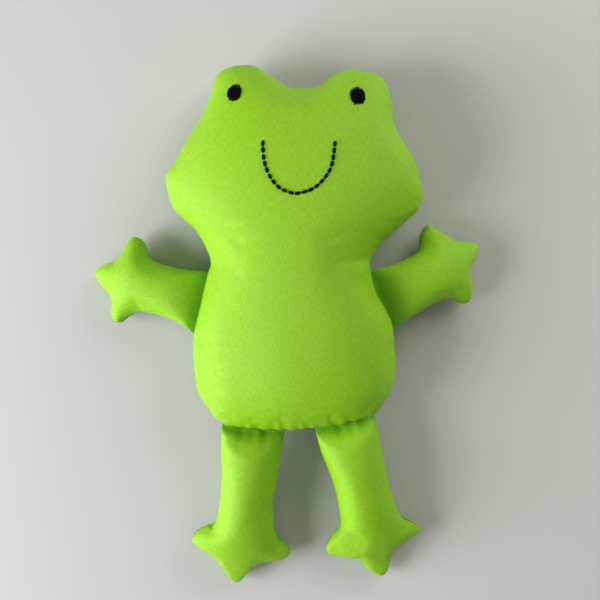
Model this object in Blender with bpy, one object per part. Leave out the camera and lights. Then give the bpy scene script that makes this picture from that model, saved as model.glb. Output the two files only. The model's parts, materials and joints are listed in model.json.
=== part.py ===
# Frog doll sewn from plain-woven green cotton and stuffed soft, lying on its back.
# +X is the frog's own left, +Y runs to the top of its head, +Z out of its face.
# The origin is on the flat of its back, under the middle of the torso.
# Head and torso are one pillow of two panels. Each arm and leg is a pillow of its own,
# flattened at its root and sewn into the body's side or hem, where it swings.

import math

import bmesh
import bpy
import numpy
from mathutils import Matrix, Vector, geometry
from mathutils.bvhtree import BVHTree

# Cloth, seams and floss
cloth_thickness = 0.0005
seam_gap = 0.0003
piece_gap = 0.0003
rest_flat_depth = 0.0005

# Body: head and torso in one
body_width = 0.1493
body_height = 0.2123
seam_height = 0.0220
body_front_depth = 0.0325
body_edge_step = 0.0068
body_net_step = 0.0125
body_inset = 0.0010
body_second_inset = 0.0042

# Arms, from the side seam to the tip of the middle finger
arm_length = 0.0685
hand_width = 0.0520
arm_front_depth = 0.0125
arm_back_depth = 0.0115

# Legs, from the hem to the tip of the middle toe
leg_length = 0.0960
foot_width = 0.0570
leg_front_depth = 0.0125
leg_back_depth = 0.0115

# Limb cloth
limb_root_gap = 0.0009
limb_edge_step = 0.0037
limb_net_step = 0.0078
limb_inset = 0.0008
limb_second_inset = 0.0030

# Embroidery
eye_width = 0.0087
eye_length = 0.0104
eye_edge_height = 0.0004
eye_dome_height = 0.0005
eye_groove_depth = 0.0002
eye_strands = 11
mouth_floss_radius = 0.00080
mouth_dip_radius = 0.00035
mouth_stitches = 21
closing_thread_radius = 0.00025
closing_thread_reach = 0.0009
closing_stitches = 9

# How full a pillow is: the smaller the share, the steeper its sides and the flatter its top
front_fullness_share = 1.30
back_fullness_share = 0.45
limb_fullness_share = 1.00
# Half thickness that a limb gains for each unit of length out from its hinge
limb_root_slope_share = 0.36
# Least half thickness of a pillow that the filling still reaches, of its front depth
filling_reach_share = 0.12

# The rest point, up from the hem
rest_height_share = 0.230

# Outline of the body: across from the middle in body widths, up from the hem in body heights
body_outline_shares = [
    (0.000, -0.004), (0.084, 0.003), (0.188, 0.012), (0.249, 0.025), (0.312, 0.039),
    (0.350, 0.079), (0.369, 0.101), (0.389, 0.145), (0.394, 0.189), (0.388, 0.235),
    (0.386, 0.282), (0.353, 0.330), (0.320, 0.369), (0.299, 0.431), (0.299, 0.465),
    (0.335, 0.505), (0.415, 0.556), (0.484, 0.600), (0.503, 0.644), (0.494, 0.680),
    (0.483, 0.706), (0.462, 0.746), (0.411, 0.802), (0.386, 0.844), (0.379, 0.893),
    (0.361, 0.939), (0.333, 0.966), (0.271, 0.981), (0.195, 0.983), (0.129, 0.959),
    (0.086, 0.937), (0.014, 0.935), (-0.030, 0.939), (-0.099, 0.973), (-0.162, 0.996),
    (-0.213, 0.996), (-0.260, 0.990), (-0.307, 0.966), (-0.327, 0.919), (-0.362, 0.858),
    (-0.425, 0.789), (-0.471, 0.726), (-0.500, 0.695), (-0.493, 0.644), (-0.464, 0.597),
    (-0.384, 0.543), (-0.341, 0.491), (-0.326, 0.456), (-0.340, 0.420), (-0.365, 0.346),
    (-0.388, 0.265), (-0.392, 0.216), (-0.382, 0.146), (-0.369, 0.102), (-0.330, 0.059),
    (-0.291, 0.019), (-0.204, 0.002),
]

# Root ends of each limb on that outline, in the same shares, in the order of its own outline
# Outline of each limb: along the hinge in hand or foot widths, out in limb lengths
limb_shares = {
    "arm_left": {
        "root": [(0.296, 0.429), (0.383, 0.277)],
        "outline": [
            (-0.329, 0.187), (-0.327, 0.303), (-0.362, 0.466), (-0.516, 0.546), (-0.592, 0.630),
            (-0.521, 0.687), (-0.322, 0.795), (-0.249, 0.894), (-0.181, 0.978), (-0.111, 0.979),
            (-0.016, 0.901), (0.086, 0.817), (0.279, 0.782), (0.410, 0.694), (0.313, 0.598),
            (0.277, 0.548), (0.268, 0.400), (0.303, 0.158),
        ],
    },
    "arm_right": {
        "root": [(-0.330, 0.431), (-0.387, 0.264)],
        "outline": [
            (0.307, 0.145), (0.302, 0.321), (0.340, 0.521), (0.495, 0.620), (0.540, 0.705),
            (0.465, 0.744), (0.265, 0.802), (0.134, 0.948), (0.025, 0.995), (-0.093, 0.905),
            (-0.209, 0.782), (-0.384, 0.761), (-0.463, 0.691), (-0.371, 0.616), (-0.283, 0.514),
            (-0.269, 0.357), (-0.305, 0.136),
        ],
    },
    "leg_left": {
        "root": [(0.311, 0.039), (0.081, 0.000)],
        "outline": [
            (-0.285, 0.200), (-0.294, 0.460), (-0.337, 0.640), (-0.429, 0.695), (-0.499, 0.739),
            (-0.496, 0.765), (-0.357, 0.809), (-0.259, 0.830), (-0.178, 0.865), (-0.110, 0.938),
            (-0.048, 0.989), (0.022, 0.994), (0.110, 0.939), (0.196, 0.853), (0.325, 0.817),
            (0.464, 0.786), (0.492, 0.739), (0.416, 0.672), (0.300, 0.603), (0.269, 0.374),
            (0.327, 0.101),
        ],
    },
    "leg_right": {
        "root": [(-0.285, 0.022), (-0.036, -0.002)],
        "outline": [
            (0.317, 0.111), (0.276, 0.376), (0.304, 0.601), (0.393, 0.639), (0.495, 0.685),
            (0.528, 0.735), (0.477, 0.770), (0.343, 0.812), (0.249, 0.852), (0.158, 0.915),
            (0.083, 0.970), (0.032, 0.984), (-0.021, 0.962), (-0.089, 0.910), (-0.199, 0.847),
            (-0.392, 0.811), (-0.486, 0.772), (-0.494, 0.740), (-0.441, 0.704), (-0.346, 0.656),
            (-0.279, 0.474), (-0.301, 0.199),
        ],
    },
}

# Middles of the eyes and the line of the mouth, in the body outline's shares
eye_place_shares = {"eye_left": (0.239, 0.895), "eye_right": (-0.226, 0.904)}
eye_lean = {"eye_left": math.radians(6), "eye_right": math.radians(-16)}
mouth_route_shares = [
    (-0.116, 0.769), (-0.115, 0.743), (-0.109, 0.706), (-0.086, 0.669), (-0.053, 0.643),
    (-0.008, 0.630), (0.017, 0.630), (0.068, 0.641), (0.106, 0.664), (0.135, 0.695),
    (0.146, 0.727), (0.152, 0.769),
]
# Ends of the gap in the left side seam that is sewn shut by hand
closing_root_shares = [(0.391, 0.173), (0.386, 0.256)]

cotton_green = (0.27, 0.55, 0.012)
filling_white = (0.86, 0.85, 0.82)
floss_black = (0.012, 0.012, 0.014)


def plain_material(name, colour, roughness):
    material = bpy.data.materials.new(name)
    material.use_nodes = True
    shader = material.node_tree.nodes["Principled BSDF"]
    shader.inputs["Base Color"].default_value = (*colour, 1.0)
    shader.inputs["Roughness"].default_value = roughness
    shader.inputs["Metallic"].default_value = 0.0
    material.diffuse_color = (*colour, 1.0)
    return material


def add_object(name, data, colour, roughness, parent=None):
    obj = bpy.data.objects.new(name, data)
    obj.data.materials.append(plain_material(name + "_finish", colour, roughness))
    obj.parent = parent
    bpy.context.scene.collection.objects.link(obj)
    return obj


def body_point(share):
    across, up = share
    return Vector((across * body_width, (up - rest_height_share) * body_height))


def smooth_curve(points, closed, steps):
    """A Catmull-Rom curve through the points."""
    count = len(points)
    curve = []
    for span in range(count if closed else count - 1):
        around = [span - 1, span, span + 1, span + 2]
        if closed:
            around = [i % count for i in around]
        else:
            around = [min(max(i, 0), count - 1) for i in around]
        a, b, c, d = (points[i] for i in around)
        for step in range(steps):
            t = step / steps
            curve.append(
                b + (c - a) * (t / 2)
                + (2 * a - 5 * b + 4 * c - d) * (t ** 2 / 2)
                + (3 * b - a - 3 * c + d) * (t ** 3 / 2)
            )
    if not closed:
        curve.append(points[-1].copy())
    return curve


def even_points(curve, count):
    """Points evenly spaced along an open curve, both ends included."""
    lengths = [0.0]
    for a, b in zip(curve, curve[1:]):
        lengths.append(lengths[-1] + (b - a).length)
    result = []
    at = 0
    for i in range(count + 1):
        target = lengths[-1] * i / count
        while at < len(curve) - 2 and lengths[at + 1] < target:
            at += 1
        span = lengths[at + 1] - lengths[at]
        result.append(curve[at].lerp(curve[at + 1], (target - lengths[at]) / span))
    return result


def curve_length(curve):
    return sum((b - a).length for a, b in zip(curve, curve[1:]))


def outward_normals(outline):
    """Normals of a closed outline that runs anticlockwise."""
    count = len(outline)
    normals = []
    for i in range(count):
        along = outline[(i + 1) % count] - outline[i - 1]
        normals.append(Vector((along.y, -along.x)).normalized())
    return normals


def distance_inside(point, outline):
    """Distance from the outline, negative outside it."""
    nearest = math.inf
    inside = False
    for a, b in zip(outline, outline[1:] + outline[:1]):
        along = b - a
        share = min(max((point - a).dot(along) / along.length_squared, 0.0), 1.0)
        nearest = min(nearest, (point - a - along * share).length)
        if (a.y > point.y) != (b.y > point.y):
            if point.x < a.x + along.x * (point.y - a.y) / along.y:
                inside = not inside
    return nearest if inside else -nearest


def flat_net(outline, inset, second_inset, step):
    """Triangles over a closed outline: two rows along its edge, then an even net."""
    normals = outward_normals(outline)
    points = list(outline)
    for depth, stride in ((inset, 1), (second_inset, 2)):
        for i in range(0, len(outline), stride):
            point = outline[i] - normals[i] * depth
            if distance_inside(point, outline) < depth * 0.85:
                continue
            if min((point - other).length for other in points) < depth * 0.6:
                continue
            points.append(point)
    low_x = min(p.x for p in outline)
    high_x = max(p.x for p in outline)
    high_y = max(p.y for p in outline)
    row = 0
    y = min(p.y for p in outline)
    while y < high_y:
        x = low_x + (row % 2) * step / 2
        while x < high_x:
            point = Vector((x, y))
            if distance_inside(point, outline) > second_inset + step * 0.55:
                points.append(point)
            x += step
        y += step * math.sqrt(3) / 2
        row += 1
    count = len(outline)
    edges = [(i, (i + 1) % count) for i in range(count)]
    found = geometry.delaunay_2d_cdt(points, edges, [], 0, 1e-9, True)
    net_points, faces, sources = found[0], found[2], found[3]
    order = [source[0] for source in sources]
    flat = numpy.zeros((len(points), 2))
    for new, old in enumerate(order):
        flat[old] = net_points[new]
    triangles = []
    for face in faces:
        a, b, c = (order[i] for i in face)
        middle = Vector((flat[a] + flat[b] + flat[c]) / 3)
        if distance_inside(middle, outline) < 0:
            continue
        if Vector(flat[b] - flat[a]).cross(Vector(flat[c] - flat[a])) < 0:
            b, c = c, b
        triangles.append((a, b, c))
    return flat, triangles, len(outline)


def pillow_swell(flat, triangles, edge_count):
    """How far a stuffed pillow swells at each point, as a share of its fullest point.

    A cloth held at its edge and pressed evenly from below takes this height; its root
    gives the round sides of a pillow.
    """
    count = len(flat)
    stiffness = numpy.zeros((count, count))
    load = numpy.zeros(count)
    for face in triangles:
        for k in range(3):
            a, b, c = face[k], face[(k + 1) % 3], face[(k + 2) % 3]
            to_b = flat[b] - flat[a]
            to_c = flat[c] - flat[a]
            area = to_b[0] * to_c[1] - to_b[1] * to_c[0]
            weight = to_b.dot(to_c) / area / 2
            stiffness[b, c] -= weight
            stiffness[c, b] -= weight
            stiffness[b, b] += weight
            stiffness[c, c] += weight
            load[a] += area / 6
    free = slice(edge_count, count)
    height = numpy.zeros(count)
    height[free] = numpy.linalg.solve(stiffness[free, free], load[free])
    return numpy.sqrt(numpy.maximum(height, 0.0) / height.max())


def filled_out(swell, depth, fullness_share):
    """Heights of a panel whose fullest point stands at its depth."""
    rise = swell / (1 + (swell / fullness_share) ** 3) ** (1 / 3)
    return rise * depth / rise.max()


def surface_normals(points, triangles, edge_count, flat):
    """Normals of a panel's outer face, which lie flat at its edge."""
    normals = numpy.zeros_like(points)
    for a, b, c in triangles:
        normal = numpy.cross(points[b] - points[a], points[c] - points[a])
        for i in (a, b, c):
            normals[i] += normal
    outline = [Vector(p) for p in flat[:edge_count]]
    for i, normal in enumerate(outward_normals(outline)):
        normals[i] = (normal.x, normal.y, 0.0)
    return normals / numpy.linalg.norm(normals, axis=1)[:, None]


def panel_faces(flat, triangles, edge_count, heights):
    """Outer and inner points of a panel, standing up from the seam."""
    outer = numpy.column_stack([flat, heights + seam_gap / 2 + cloth_thickness])
    normals = surface_normals(outer, triangles, edge_count, flat)
    inner = outer - normals * cloth_thickness
    inner[:, 2] = numpy.maximum(inner[:, 2], seam_gap / 2)
    inner[:edge_count, 2] = seam_gap / 2
    return outer, inner, normals


def closed_mesh(name, points, faces):
    bm = bmesh.new()
    corners = [bm.verts.new(p) for p in points]
    for face in faces:
        bm.faces.new([corners[i] for i in face])
    bmesh.ops.recalc_face_normals(bm, faces=bm.faces)
    mesh = bpy.data.meshes.new(name)
    bm.to_mesh(mesh)
    bm.free()
    mesh.shade_smooth()
    mesh.set_sharp_from_angle(angle=math.radians(50))
    return mesh


def add_panel(name, net, heights, side, parent=None):
    """One panel of cloth: a shell that opens at the seam, in front of it or behind it."""
    flat, triangles, edge_count = net
    outer, inner, normals = panel_faces(flat, triangles, edge_count, heights)
    count = len(flat)
    faces = list(triangles)
    faces += [(count + c, count + b, count + a) for a, b, c in triangles]
    for i in range(edge_count):
        j = (i + 1) % edge_count
        faces.append((i, count + i, count + j, j))
    points = numpy.vstack([outer, inner])
    points[:, 2] *= side
    mesh = closed_mesh(name, points, faces)
    return add_object(name, mesh, cotton_green, 0.9, parent)


def add_filling(name, net, front_heights, back_heights, reach, parent=None):
    """The stuffing: it fills both panels to a small gap and stops short of the seam."""
    flat, triangles, edge_count = net
    tops = []
    for heights in (front_heights, back_heights):
        outer, inner, normals = panel_faces(flat, triangles, edge_count, heights)
        tops.append(inner - normals * piece_gap)
    low = numpy.minimum(front_heights, back_heights)
    kept = [face for face in triangles if min(low[i] for i in face) > reach]
    edges = {}
    for face in kept:
        for k in range(3):
            edges[(face[k], face[(k + 1) % 3])] = True
    rim = [edge for edge in edges if edge[::-1] not in edges]
    used = sorted({i for face in kept for i in face})
    place = {old: new for new, old in enumerate(used)}
    count = len(used)
    points = numpy.vstack([tops[0][used], tops[1][used]])
    points[count:, 2] *= -1
    faces = [tuple(place[i] for i in face) for face in kept]
    faces += [tuple(count + i for i in face[::-1]) for face in faces]
    for a, b in rim:
        faces.append((place[a], count + place[a], count + place[b], place[b]))
    mesh = closed_mesh(name, points, faces)
    return add_object(name, mesh, filling_white, 1.0, parent)


def body_edge():
    corners = [body_point(share) for share in body_outline_shares]
    curve = smooth_curve(corners, True, 8)
    curve.append(curve[0])
    return even_points(curve, round(curve_length(curve) / body_edge_step))[:-1]


def root_edge(outline, ends):
    """The stretch of the body's outline between two root ends, a small gap outside it."""
    normals = outward_normals(outline)
    count = len(outline)
    first, last = (
        min(range(count), key=lambda i: (outline[i] - body_point(share)).length)
        for share in ends
    )
    forward = (last - first) % count
    step = 1 if forward < count / 2 else -1
    picks = [(first + step * k) % count for k in range(min(forward, count - forward) + 1)]
    return [outline[i] + normals[i] * limb_root_gap for i in picks]


def body_front_surface(panel):
    bm = bmesh.new()
    bm.from_mesh(panel.data)
    surface = BVHTree.FromBMesh(bm)
    bm.free()
    return surface


def surface_at(surface, point):
    above = Vector((point.x, point.y, body_front_depth + body_height))
    place, normal, index, distance = surface.ray_cast(above, Vector((0, 0, -1)))
    return place, normal


def add_body():
    outline = body_edge()
    net = flat_net(outline, body_inset, body_second_inset, body_net_step)
    swell = pillow_swell(*net)
    front = filled_out(swell, body_front_depth, front_fullness_share)
    seam_to_floor = seam_height - seam_gap / 2 - cloth_thickness
    back = filled_out(swell, seam_to_floor + rest_flat_depth, back_fullness_share)
    back = numpy.minimum(back, seam_to_floor)
    root = bpy.data.objects.new("body", None)
    root.location.z = seam_height
    bpy.context.scene.collection.objects.link(root)
    panel = add_panel("body_front_panel", net, front, 1, root)
    add_panel("body_back_panel", net, back, -1, root)
    reach = body_front_depth * filling_reach_share
    add_filling("body_filling", net, front, back, reach, root)
    return root, outline, body_front_surface(panel)


def limb_outline(name, outline, width, length):
    """The limb's outline in its own frame, which stands on its hinge.

    The hinge runs along the root's chord at the seam's height, past the outermost point
    of the root, so that nothing of the limb swings into the body.
    """
    shares = limb_shares[name]
    root = root_edge(outline, shares["root"])
    middle = (root[0] + root[-1]) / 2
    outward = (root[0] - root[-1]).orthogonal().normalized()
    if outward.dot(middle - body_point((0.0, rest_height_share * 2))) < 0:
        outward = -outward
    along = Vector((outward.y, -outward.x))
    reach = max((p - middle).dot(outward) for p in root)
    hinge = middle + outward * reach
    near = [Vector(((p - hinge).dot(along), (p - hinge).dot(outward))) for p in root]
    far = [Vector((a * width, b * length)) for a, b in shares["outline"]]
    curve = smooth_curve([near[0]] + far + [near[-1]], False, 8)
    edge = even_points(curve, round(curve_length(curve) / limb_edge_step))
    closed = edge[:-1] + near[:0:-1]
    area = sum(a.cross(b) for a, b in zip(closed, closed[1:] + closed[:1]))
    if area < 0:
        closed.reverse()
    return closed, hinge, along


def resting_droop(flat, back):
    """The angle at which a limb hangs from its hinge with its back on the floor."""
    low, high = 0.0, math.radians(60)
    depth = back + seam_gap / 2 + cloth_thickness
    for halving in range(40):
        droop = (low + high) / 2
        heights = seam_height - flat[:, 1] * math.sin(droop) - depth * math.cos(droop)
        if heights.min() > -rest_flat_depth:
            low = droop
        else:
            high = droop
    return low


def add_limb(name, outline, width, length, front_depth, back_depth, body):
    closed, hinge, along = limb_outline(name, outline, width, length)
    net = flat_net(closed, limb_inset, limb_second_inset, limb_net_step)
    flat = net[0]
    swell = pillow_swell(*net)
    ramp = numpy.maximum(flat[:, 1], 0.0) * limb_root_slope_share
    sides = []
    for depth in (front_depth, back_depth):
        full = filled_out(swell, depth, limb_fullness_share)
        both = full * ramp / numpy.maximum((full ** 3 + ramp ** 3) ** (1 / 3), 1e-12)
        sides.append(both)
    front, back = sides
    droop = resting_droop(flat, back)
    to_floor = (seam_height - flat[:, 1] * math.sin(droop)) / math.cos(droop)
    back = numpy.minimum(back, to_floor - seam_gap / 2 - cloth_thickness)
    pivot = bpy.data.objects.new(name + "_hinge", None)
    pivot.parent = body
    turn = Matrix.Rotation(math.atan2(along.y, along.x), 4, "Z")
    fall = Matrix.Rotation(-droop, 4, "X")
    pivot.matrix_local = Matrix.Translation((hinge.x, hinge.y, 0)) @ turn @ fall
    bpy.context.scene.collection.objects.link(pivot)
    add_panel(name + "_front_panel", net, front, 1, pivot)
    add_panel(name + "_back_panel", net, back, -1, pivot)
    add_filling(name + "_filling", net, front, back, front_depth * filling_reach_share, pivot)
    print(
        name, "hinge", [round(v, 5) for v in (hinge.x, hinge.y, seam_height)],
        "axis", [round(v, 5) for v in (along.x, along.y, 0)],
        "droop", round(math.degrees(droop), 2),
    )


def add_eye(name, surface, body):
    """A pad of satin stitch: parallel strands over a low dome, laid on the cloth."""
    middle = body_point(eye_place_shares[name])
    place, facing = surface_at(surface, middle)
    turn = Matrix.Rotation(eye_lean[name], 2)
    columns = eye_strands * 2 + 1
    rows = 6
    tops, bottoms = [], []
    for i in range(columns):
        across = (i / (columns - 1) * 2 - 1) * 0.97
        reach = math.sqrt(1 - across ** 2)
        groove = i % 2 == 0
        for j in range(rows):
            up = (j / (rows - 1) * 2 - 1) * reach
            flat = turn @ Vector((across * eye_width / 2, up * eye_length / 2))
            foot, normal = surface_at(surface, middle + flat)
            foot = foot + facing * piece_gap
            crown = 1 - across ** 2 - up ** 2
            height = eye_edge_height + eye_dome_height * max(crown, 0.0)
            if groove:
                height -= eye_groove_depth
            bottoms.append(foot - place)
            tops.append(foot + facing * height - place)
    count = columns * rows
    faces = []
    for i in range(columns - 1):
        for j in range(rows - 1):
            a, b = i * rows + j, (i + 1) * rows + j
            faces.append((a, b, b + 1, a + 1))
            faces.append((count + a, count + a + 1, count + b + 1, count + b))
    ring = [i * rows for i in range(columns)]
    ring += [(columns - 1) * rows + j for j in range(1, rows)]
    ring += [i * rows + rows - 1 for i in range(columns - 2, -1, -1)]
    ring += [j for j in range(rows - 2, 0, -1)]
    for a, b in zip(ring, ring[1:] + ring[:1]):
        faces.append((a, count + a, count + b, b))
    mesh = closed_mesh(name, tops + bottoms, faces)
    eye = add_object(name, mesh, floss_black, 0.55, body)
    eye.location = place


def add_thread(name, points, radii, body):
    """A thread as a tube of changing thickness through the points."""
    data = bpy.data.curves.new(name, "CURVE")
    data.dimensions = "3D"
    data.bevel_depth = max(radii)
    data.bevel_resolution = 1
    data.use_fill_caps = True
    spline = data.splines.new("POLY")
    spline.points.add(len(points) - 1)
    for spot, point, radius in zip(spline.points, points, radii):
        spot.co = (*point, 1.0)
        spot.radius = radius / data.bevel_depth
    return add_object(name, data, floss_black if "mouth" in name else cotton_green, 0.6, body)


def add_mouth(surface, body):
    """One length of floss in back stitch: each stitch is full, and dips at both its ends."""
    route = smooth_curve([body_point(share) for share in mouth_route_shares], False, 8)
    spots = even_points(route, mouth_stitches * 3)
    points, radii = [], []
    for i, spot in enumerate(spots):
        radius = mouth_dip_radius if i % 3 == 0 else mouth_floss_radius
        if i % 3:
            toward = spots[i - 1] if i % 3 == 1 else spots[i + 1]
            spot = spot.lerp(toward, 0.35)
        place, normal = surface_at(surface, spot)
        points.append(place + Vector((0, 0, (piece_gap + radius) / normal.z)))
        radii.append(radius)
    add_thread("mouth_thread", points, radii, body)


def add_closing_thread(outline, body):
    """The hand stitch that shuts the turning gap: it crosses the seam from side to side."""
    edge = root_edge(outline, closing_root_shares)
    standing = closing_thread_radius + piece_gap - limb_root_gap
    curve = even_points(edge, closing_stitches * 2)
    points = []
    for i, spot in enumerate(curve):
        following = curve[min(i + 1, len(curve) - 1)] - curve[max(i - 1, 0)]
        side = Vector((following.y, -following.x)).normalized()
        side = side if side.x > 0 else -side
        place = spot + side * standing
        height = closing_thread_reach * (1, 0, -1, 0)[i % 4]
        points.append(Vector((place.x, place.y, height)))
    add_thread("body_closing_thread", points, [closing_thread_radius] * len(points), body)


def main():
    for obj in list(bpy.data.objects):
        bpy.data.objects.remove(obj, do_unlink=True)
    body, outline, surface = add_body()
    for name in ("arm_left", "arm_right"):
        add_limb(name, outline, hand_width, arm_length, arm_front_depth, arm_back_depth, body)
    for name in ("leg_left", "leg_right"):
        add_limb(name, outline, foot_width, leg_length, leg_front_depth, leg_back_depth, body)
    for name in ("eye_left", "eye_right"):
        add_eye(name, surface, body)
    add_mouth(surface, body)
    add_closing_thread(outline, body)


main()
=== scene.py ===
import json
import math
import random

import bmesh
import bpy
import numpy
from mathutils import Matrix, Vector, noise
from mathutils.bvhtree import BVHTree


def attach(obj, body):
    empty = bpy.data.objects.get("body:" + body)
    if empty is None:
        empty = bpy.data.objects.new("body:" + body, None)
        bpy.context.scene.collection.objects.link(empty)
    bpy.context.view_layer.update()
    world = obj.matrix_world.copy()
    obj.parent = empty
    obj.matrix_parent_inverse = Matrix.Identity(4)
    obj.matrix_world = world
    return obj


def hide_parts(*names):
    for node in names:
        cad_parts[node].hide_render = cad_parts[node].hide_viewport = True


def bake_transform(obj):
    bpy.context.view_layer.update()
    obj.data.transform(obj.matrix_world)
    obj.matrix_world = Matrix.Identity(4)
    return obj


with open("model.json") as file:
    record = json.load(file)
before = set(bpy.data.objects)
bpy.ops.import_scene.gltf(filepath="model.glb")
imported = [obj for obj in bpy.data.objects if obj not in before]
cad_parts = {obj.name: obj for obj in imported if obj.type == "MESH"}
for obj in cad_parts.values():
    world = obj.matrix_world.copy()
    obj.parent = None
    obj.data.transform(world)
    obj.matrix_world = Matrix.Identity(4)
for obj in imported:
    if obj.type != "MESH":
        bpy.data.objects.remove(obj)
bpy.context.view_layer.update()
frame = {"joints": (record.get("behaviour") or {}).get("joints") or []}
joints = {joint["name"]: joint for joint in frame["joints"]}

# The doll lies on its back: +X is its own left, +Y runs to its head, +Z out of its face.
# Lengths in the settings are millimetres. An outline is a seam as it lies in the photograph,
# in shares of the piece's width and height, and a limb's stands on its hinge.


def addObject(name, data):
    obj = bpy.data.objects.new(name, data)
    bpy.context.scene.collection.objects.link(obj)
    return obj


# A curve through all the points, in short straight steps
def smoothCurve(points, closed, steps=12):
    count = len(points)
    curve = []
    for span in range(count if closed else count - 1):
        around = [span - 1, span, span + 1, span + 2]
        around = [i % count if closed else min(max(i, 0), count - 1) for i in around]
        a, b, c, d = (points[i] for i in around)
        for step in range(steps):
            t = step / steps
            curve.append(
                b + (c - a) * (t / 2)
                + (2 * a - 5 * b + 4 * c - d) * (t ** 2 / 2)
                + (3 * b - a - 3 * c + d) * (t ** 3 / 2)
            )
    curve.append((points[0] if closed else points[-1]).copy())
    return curve


def curveLength(curve):
    return sum((b - a).length for a, b in zip(curve, curve[1:]))


# Points at even distances along a curve, both ends included
def evenPoints(curve, count):
    lengths = [0.0]
    for a, b in zip(curve, curve[1:]):
        lengths.append(lengths[-1] + (b - a).length)
    spots = []
    at = 0
    for i in range(count + 1):
        target = lengths[-1] * i / count
        while at < len(curve) - 2 and lengths[at + 1] < target:
            at += 1
        share = (target - lengths[at]) / max(lengths[at + 1] - lengths[at], 1e-9)
        spots.append(curve[at].lerp(curve[at + 1], share))
    return spots


# How deep inside a closed outline each point lies, negative outside, and how far along it
def seamPlace(flats, outline):
    loop = numpy.array([(p.x, p.y) for p in outline])
    along = numpy.roll(loop, -1, axis=0) - loop
    lengths = numpy.linalg.norm(along, axis=1)
    nearest = numpy.full(len(flats), numpy.inf)
    arc = numpy.zeros(len(flats))
    inside = numpy.zeros(len(flats), bool)
    for a, d, length, passed in zip(loop, along, lengths, numpy.cumsum(lengths) - lengths):
        offset = flats - a
        share = numpy.clip(offset @ d / (d @ d), 0, 1)
        distance = numpy.linalg.norm(offset - share[:, None] * d, axis=1)
        closer = distance < nearest
        nearest[closer] = distance[closer]
        arc[closer] = passed + share[closer] * length
        if d[1] != 0:
            crosses = (a[1] > flats[:, 1]) != (a[1] + d[1] > flats[:, 1])
            inside ^= crosses & (flats[:, 0] < a[0] + d[0] * (flats[:, 1] - a[1]) / d[1])
    return numpy.where(inside, nearest, -nearest), arc


def nearestIndex(outline, place):
    return min(range(len(outline)), key=lambda i: (outline[i] - place).length)


seam = {
    "lip": 0.35,  # half the opening between the two panels
    "groove": 0.9,  # how far the seam lies in from their edges
    "notchHalf": 1.7,  # half width of a notch in the outline
    "dentHalf": 2.1,  # half width of a dent where it starts
    "dentSpread": 0.25,  # and how much wider it grows for each millimetre in
    "easeHeight": 3.0,  # cloth lower than this takes less of a dent or crease
    # how unevenly the stitches pull, in shares of a stretch's own values
    "first": (0.2, 0.7),
    "spacing": (0.65, 1.35),
    "strength": (0.45, 1.35),
    "reach": (0.7, 1.3),
}


# Places along a seam where its stitches pull the cloth in
def seamPulls(outline, stretches, seed):
    draw = random.Random(seed)
    step = curveLength(outline + outline[:1]) / len(outline)
    whole = step * len(outline)
    pulls = []
    for stretch in stretches:
        start, stop = (nearestIndex(outline, end) * step for end in stretch["ends"])
        if stop <= start:
            stop += whole
        at = start + stretch["every"] * draw.uniform(*seam["first"])
        while at < stop:
            strength = draw.uniform(*seam["strength"])
            pulls.append({
                "at": at % whole,
                "notch": stretch["notch"] * strength,
                "dent": stretch["dent"] * strength,
                "reach": stretch["reach"] * draw.uniform(*seam["reach"]),
            })
            at += stretch["every"] * draw.uniform(*seam["spacing"])
    return pulls


def gapAlong(arc, at, whole):
    gap = numpy.abs(arc - at)
    return numpy.minimum(gap, whole - gap)


def notchedOutline(outline, pulls):
    step = curveLength(outline + outline[:1]) / len(outline)
    arc = numpy.arange(len(outline)) * step
    whole = step * len(outline)
    inset = sum(
        pull["notch"] * numpy.exp(-(gapAlong(arc, pull["at"], whole) / seam["notchHalf"]) ** 2)
        for pull in pulls
    )
    return [p - n * float(d) for p, n, d in zip(outline, outwardNormals(outline), inset)]


# Dents that run in from the seam's pulls, and the filling's lumps
def handling(flats, height, depth, arc, whole, settings, pulls, seed):
    ease = numpy.clip(height / seam["easeHeight"], 0, 1)
    halfWidth = seam["dentHalf"] + seam["dentSpread"] * depth
    dents = sum(
        pull["dent"]
        * numpy.exp(-(gapAlong(arc, pull["at"], whole) / halfWidth) ** 2)
        * numpy.exp(-depth / pull["reach"])
        for pull in pulls
    )
    lumps = settings["unevenness"]
    size = lumps["size"]
    rough = numpy.array([noise.noise(Vector((x / size, y / size, seed))) for x, y in flats])
    return height + ease * (rough * lumps["height"] - dents)


netMargin = 0.62  # share of the net's step that stays clear between it and the rows


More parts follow.
